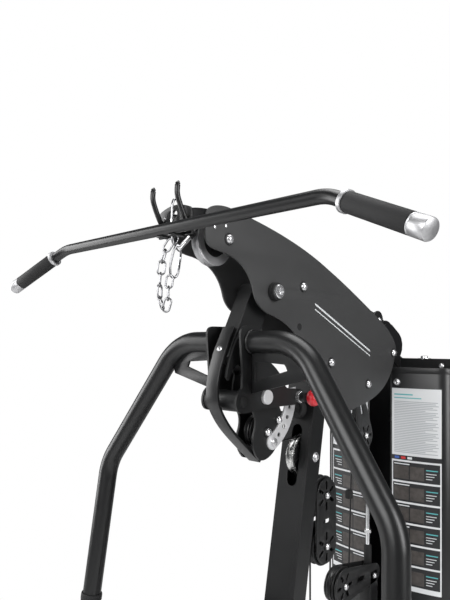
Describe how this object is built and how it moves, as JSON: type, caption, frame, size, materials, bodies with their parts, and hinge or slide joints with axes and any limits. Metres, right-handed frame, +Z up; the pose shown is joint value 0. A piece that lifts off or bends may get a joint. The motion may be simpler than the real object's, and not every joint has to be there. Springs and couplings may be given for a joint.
{
  "type": "home multi-gym",
  "caption": "Home multi-gym with lat bar, swinging press arms, leg developer and a shrouded weight stack, driven by cables over pulleys.",
  "frame": {"origin": "on the floor at the centre of the overall box", "axes": "+Z up; the user faces -Y, so the seat is towards -Y and the weight stack towards +Y; X runs across the machine"},
  "size_m": [1.1916, 1.52, 2.0464],
  "materials": {
    "frame_black": "satin black powder coat",
    "plate_grey": "matt charcoal powder coat",
    "chrome": "polished",
    "zinc": "zinc plated, satin",
    "rubber": "matt",
    "nylon": "moulded, satin",
    "vinyl": "padded black vinyl",
    "foam": "closed-cell foam",
    "red_plastic": "gloss",
    "iron": "black hammered paint"
  },
  "bodies": {
    "frame": {"base_rail": "frame_black", "front_stabiliser": "frame_black", "rear_stabiliser": "frame_black", "upright": "frame_black", "boom_plate_left": "plate_grey", "boom_plate_right": "plate_grey", "pivot_axle": "chrome", "bar_rest_bracket": "frame_black", "mid_pulley_bracket": "frame_black", "boom_pulley_bracket": "frame_black", "low_pulley_bracket": "frame_black", "head_tube": "frame_black", "guide_rod_left": "chrome", "guide_rod_right": "chrome", "shroud_left": "plate_grey", "shroud_right": "plate_grey", "lower_plates": "iron", "seat_frame": "frame_black", "back_pad": "vinyl", "lat_cable": "rubber", "press_cable": "rubber", "low_cable": "rubber", "hanging_chain": "chrome"},
    "lat_bar": {"lat_bar": "frame_black", "lat_grip_left": "rubber", "lat_grip_right": "rubber"},
    "swing_arm": {"swing_arm": "frame_black", "guard_band": "frame_black", "cam_plates": "frame_black", "adjuster_plate": "zinc", "adjuster_axle": "chrome"},
    "press_arms": {"press_bracket": "frame_black", "press_arm_left": "frame_black", "press_arm_right": "frame_black", "press_grip_left": "rubber", "press_grip_right": "rubber"},
    "pull_pin": {"pull_pin": "red_plastic"},
    "stack": {"lifted_plates": "iron", "top_plate": "iron", "selector_rod": "chrome"},
    "selector_pin": {"selector_pin": "red_plastic"},
    "pulley_block": {"pulley_block": "frame_black"},
    "seat": {"seat_post": "frame_black", "seat_pad": "vinyl"},
    "leg_arm": {"leg_arm": "frame_black"},
    "front_pulley": {"front_pulley": "nylon"},
    "rear_pulley": {"rear_pulley": "nylon"},
    "boom_pulley": {"boom_pulley": "nylon"},
    "cam_pulley": {"cam_pulley": "nylon"},
    "upright_pulley": {"upright_pulley": "nylon"},
    "block_pulley_upper": {"block_pulley_upper": "nylon"},
    "block_pulley_lower": {"block_pulley_lower": "nylon"},
    "low_pulley": {"low_pulley": "nylon"},
    "mid_pulley": {"mid_pulley": "nylon"},
    "base_pulley": {"base_pulley": "nylon"},
    "row_pulley": {"row_pulley": "nylon"},
    "roller_upper_left": {"roller_upper_left": "foam"},
    "roller_upper_right": {"roller_upper_right": "foam"},
    "roller_lower_left": {"roller_lower_left": "foam"},
    "roller_lower_right": {"roller_lower_right": "foam"}
  },
  "joints": [
    {"name": "stack_lift", "type": "slide", "parent": "frame", "child": "stack", "axis": [0, 0, 1], "range_m": [0, 0.35], "deforming": ["lat_cable", "press_cable", "low_cable"]},
    {"name": "selector_pin_pull", "type": "slide", "parent": "stack", "child": "selector_pin", "axis": [0, -1, 0], "range_m": [0, 0.042]},
    {"name": "press_swing", "type": "hinge", "parent": "frame", "child": "swing_arm", "pos_m": [0, -0.012, 1.839], "axis": [1, 0, 0], "range_deg": [-34, 0]},
    {"name": "press_start_position", "type": "hinge", "parent": "swing_arm", "child": "press_arms", "pos_m": [0, -0.048, 1.592], "axis": [1, 0, 0], "range_deg": [-36, 0]},
    {"name": "pull_pin_slide", "type": "slide", "parent": "press_arms", "child": "pull_pin", "axis": [1, 0, 0], "range_m": [-0.005, 0]},
    {"name": "block_rise", "type": "slide", "parent": "frame", "child": "pulley_block", "axis": [0, 0, 1], "range_m": [0, 0.06]},
    {"name": "lat_bar_lift_off", "type": "slide", "parent": "frame", "child": "lat_bar", "axis": [0, -0.8, 0.6], "range_m": [0, 0.12]},
    {"name": "seat_height", "type": "slide", "parent": "frame", "child": "seat", "axis": [0, 0, 1], "range_m": [0, 0.09]},
    {"name": "leg_swing", "type": "hinge", "parent": "frame", "child": "leg_arm", "pos_m": [0, -0.47, 0.47], "axis": [1, 0, 0], "range_deg": [-75, 0]},
    {"name": "front_pulley_spin", "type": "hinge", "parent": "frame", "child": "front_pulley", "pos_m": [0, -0.167, 1.944], "axis": [1, 0, 0], "continuous": true},
    {"name": "rear_pulley_spin", "type": "hinge", "parent": "frame", "child": "rear_pulley", "pos_m": [0, 0.605, 1.735], "axis": [1, 0, 0], "continuous": true},
    {"name": "boom_pulley_spin", "type": "hinge", "parent": "frame", "child": "boom_pulley", "pos_m": [0, 0.54, 1.788], "axis": [1, 0, 0], "continuous": true},
    {"name": "cam_pulley_spin", "type": "hinge", "parent": "swing_arm", "child": "cam_pulley", "pos_m": [0, -0.008, 1.503], "axis": [1, 0, 0], "continuous": true},
    {"name": "upright_pulley_spin", "type": "hinge", "parent": "frame", "child": "upright_pulley", "pos_m": [0, 0.167, 1.42], "axis": [1, 0, 0], "continuous": true},
    {"name": "block_pulley_upper_spin", "type": "hinge", "parent": "pulley_block", "child": "block_pulley_upper", "pos_m": [0, 0.257, 1.297], "axis": [1, 0, 0], "continuous": true},
    {"name": "block_pulley_lower_spin", "type": "hinge", "parent": "pulley_block", "child": "block_pulley_lower", "pos_m": [0, 0.257, 1.157], "axis": [1, 0, 0], "continuous": true},
    {"name": "low_pulley_spin", "type": "hinge", "parent": "frame", "child": "low_pulley", "pos_m": [0, 0.35, 1.018], "axis": [1, 0, 0], "continuous": true},
    {"name": "mid_pulley_spin", "type": "hinge", "parent": "frame", "child": "mid_pulley", "pos_m": [0, 0.465, 1.438], "axis": [1, 0, 0], "continuous": true},
    {"name": "base_pulley_spin", "type": "hinge", "parent": "frame", "child": "base_pulley", "pos_m": [0, 0.157, 0.13], "axis": [1, 0, 0], "continuous": true},
    {"name": "row_pulley_spin", "type": "hinge", "parent": "frame", "child": "row_pulley", "pos_m": [0, -0.6, 0.13], "axis": [1, 0, 0], "continuous": true},
    {"name": "roller_upper_left_spin", "type": "hinge", "parent": "frame", "child": "roller_upper_left", "pos_m": [0, -0.47, 0.47], "axis": [1, 0, 0], "continuous": true},
    {"name": "roller_upper_right_spin", "type": "hinge", "parent": "frame", "child": "roller_upper_right", "pos_m": [0, -0.47, 0.47], "axis": [1, 0, 0], "continuous": true},
    {"name": "roller_lower_left_spin", "type": "hinge", "parent": "leg_arm", "child": "roller_lower_left", "pos_m": [0, -0.505, 0.205], "axis": [1, 0, 0], "continuous": true},
    {"name": "roller_lower_right_spin", "type": "hinge", "parent": "leg_arm", "child": "roller_lower_right", "pos_m": [0, -0.505, 0.205], "axis": [1, 0, 0], "continuous": true}
  ],
  "couplings": [
    {"joint": "press_swing", "follows": "stack_lift", "rad_per_m": -1.695},
    {"joint": "block_rise", "follows": "stack_lift", "ratio": 0.17}
  ]
}
